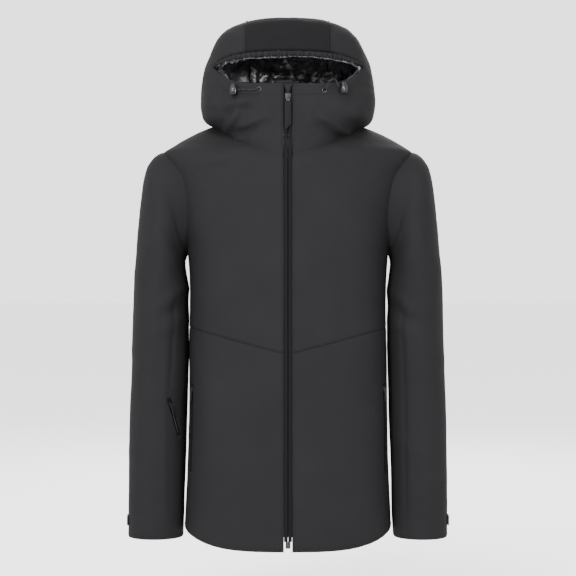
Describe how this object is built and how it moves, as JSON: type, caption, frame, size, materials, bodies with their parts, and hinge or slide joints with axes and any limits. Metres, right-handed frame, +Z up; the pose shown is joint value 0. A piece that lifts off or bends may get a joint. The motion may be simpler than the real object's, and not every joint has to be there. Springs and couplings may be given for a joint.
{
  "type": "ski jacket",
  "caption": "Insulated hooded ski jacket, filled out as worn, front zip closed, with sliding zips, sprung cord locks, peeling cuff tabs, swinging sleeves and a tilting hood crown.",
  "frame": {"origin": "under the top of the hang loop at the back of the neck", "axes": "+Z up, -Y towards the front of the jacket, +X towards the wearer's left"},
  "size_m": [0.5868, 0.3081, 0.974],
  "materials": {
    "shell": "matte plain-woven coated shell cloth, charcoal black",
    "shell_dark": "matte plain-woven coated shell cloth, charcoal black",
    "satin": "glossy black satin lining",
    "wadding": "off-white polyester wadding",
    "pocketing": "black brushed tricot pocketing",
    "cord": "black braided elastic cord",
    "tape": "black woven tape",
    "loop_pad": "black loop pile pad",
    "rubber": "matte black moulded rubber",
    "spring_steel": "spring wire",
    "lock_plastic": "glossy black moulded plastic",
    "zip_tape": "black coated zip tape with a reversed coil",
    "zip_metal": "black lacquered die-cast zinc"
  },
  "bodies": {
    "torso": {"front_lower_left": "shell", "front_upper_left": "shell", "front_insulation_left": "wadding", "front_lining_left": "satin", "front_lower_right": "shell", "front_upper_right": "shell", "front_insulation_right": "wadding", "front_lining_right": "satin", "back_panel": "shell", "back_yoke": "shell", "back_insulation": "wadding", "back_lining": "satin", "collar_left": "shell", "collar_right": "shell", "collar_back": "shell", "collar_lining": "satin", "chin_guard": "shell", "storm_flap": "shell", "zip_garage": "shell", "hang_loop": "tape", "zip_half_left": "zip_tape", "zip_half_right": "zip_tape", "zip_box": "zip_metal", "pocket_left_zip_tape": "zip_tape", "pocket_right_zip_tape": "zip_tape", "pocket_bag_left": "pocketing", "pocket_bag_right": "pocketing", "eyelet_left": "lock_plastic", "cord_lock_left": "lock_plastic", "cord_lock_spring_left": "spring_steel", "eyelet_right": "lock_plastic", "cord_lock_right": "lock_plastic", "cord_lock_spring_right": "spring_steel", "drawcord_left": "cord", "drawcord_right": "cord"},
    "front_slider": {"zip_slider": "zip_metal"},
    "front_pull": {"zip_pull": "zip_metal", "zip_puller_tape": "rubber"},
    "pocket_left_slider": {"pocket_left_zip_slider": "zip_metal"},
    "pocket_left_pull": {"pocket_left_zip_pull": "zip_metal"},
    "pocket_right_slider": {"pocket_right_zip_slider": "zip_metal"},
    "pocket_right_pull": {"pocket_right_zip_pull": "zip_metal"},
    "arm_left": {"sleeve_left": "shell", "sleeve_lining_left": "satin", "cuff_loop_left": "loop_pad"},
    "arm_right": {"sleeve_right": "shell", "sleeve_lining_right": "satin", "cuff_loop_right": "loop_pad", "sleeve_pocket_zip_tape": "zip_tape"},
    "forearm_slider": {"sleeve_pocket_zip_slider": "zip_metal"},
    "forearm_pull": {"sleeve_pocket_zip_pull": "zip_metal"},
    "tab_left": {"cuff_tab_left": "rubber"},
    "tab_right": {"cuff_tab_right": "rubber"},
    "button_left": {"cord_lock_button_left": "lock_plastic"},
    "button_right": {"cord_lock_button_right": "lock_plastic"},
    "crown": {"crown_left": "shell", "crown_centre": "shell_dark", "crown_right": "shell", "hood_brim": "shell", "crown_lining": "satin"}
  },
  "joints": [
    {"name": "front_zip_slide", "type": "slide", "parent": "torso", "child": "front_slider", "axis": [0, -0.04, -0.9992], "range_m": [0, 0.772]},
    {"name": "front_pull_swing", "type": "hinge", "parent": "front_slider", "child": "front_pull", "pos_m": [0, -0.19082, 0.02151], "axis": [-1, 0, 0], "range_deg": [0, 150]},
    {"name": "pocket_left_zip_slide", "type": "slide", "parent": "torso", "child": "pocket_left_slider", "axis": [0.0144, -0.0198, -0.9997], "range_m": [0, 0.141]},
    {"name": "pocket_left_pull_swing", "type": "hinge", "parent": "pocket_left_slider", "child": "pocket_left_pull", "pos_m": [0.17531, -0.12876, -0.49759], "axis": [-0.3562, -0.9343, 0.0134], "range_deg": [0, 150]},
    {"name": "pocket_right_zip_slide", "type": "slide", "parent": "torso", "child": "pocket_right_slider", "axis": [-0.0144, -0.0198, -0.9997], "range_m": [0, 0.141]},
    {"name": "pocket_right_pull_swing", "type": "hinge", "parent": "pocket_right_slider", "child": "pocket_right_pull", "pos_m": [-0.17531, -0.12876, -0.49759], "axis": [-0.3562, 0.9343, -0.0134], "range_deg": [0, 150]},
    {"name": "forearm_zip_slide", "type": "slide", "parent": "arm_right", "child": "forearm_slider", "axis": [0.2284, 0.2461, -0.942], "range_m": [0, 0.053]},
    {"name": "forearm_pull_swing", "type": "hinge", "parent": "forearm_slider", "child": "forearm_pull", "pos_m": [-0.20859, -0.13655, -0.52503], "axis": [-0.6464, -0.6852, -0.3357], "range_deg": [0, 150]},
    {"name": "arm_left_swing", "type": "hinge", "parent": "torso", "child": "arm_left", "pos_m": [0.2295, -0.068, -0.066], "axis": [0, -1, 0], "range_deg": [0, 45]},
    {"name": "tab_left_peel", "type": "hinge", "parent": "arm_left", "child": "tab_left", "pos_m": [0.23729, -0.04166, -0.7376], "axis": [0, 0, 1], "range_deg": [0, 60]},
    {"name": "button_left_press", "type": "slide", "parent": "torso", "child": "button_left", "axis": [0, 0, -1], "range_m": [0, 0.003], "stiffness_N_per_m": 300, "springref_m": -0.002, "deforming": ["cord_lock_spring_left"]},
    {"name": "arm_right_swing", "type": "hinge", "parent": "torso", "child": "arm_right", "pos_m": [-0.2295, -0.068, -0.066], "axis": [0, 1, 0], "range_deg": [0, 45]},
    {"name": "tab_right_peel", "type": "hinge", "parent": "arm_right", "child": "tab_right", "pos_m": [-0.23728, -0.04166, -0.7376], "axis": [0, 0, -1], "range_deg": [0, 60]},
    {"name": "button_right_press", "type": "slide", "parent": "torso", "child": "button_right", "axis": [0, 0, -1], "range_m": [0, 0.003], "stiffness_N_per_m": 300, "springref_m": -0.002, "deforming": ["cord_lock_spring_right"]},
    {"name": "crown_tilt", "type": "hinge", "parent": "torso", "child": "crown", "pos_m": [0, 0.0885, 0.0812], "axis": [-1, 0, 0], "range_deg": [0, 20]}
  ]
}
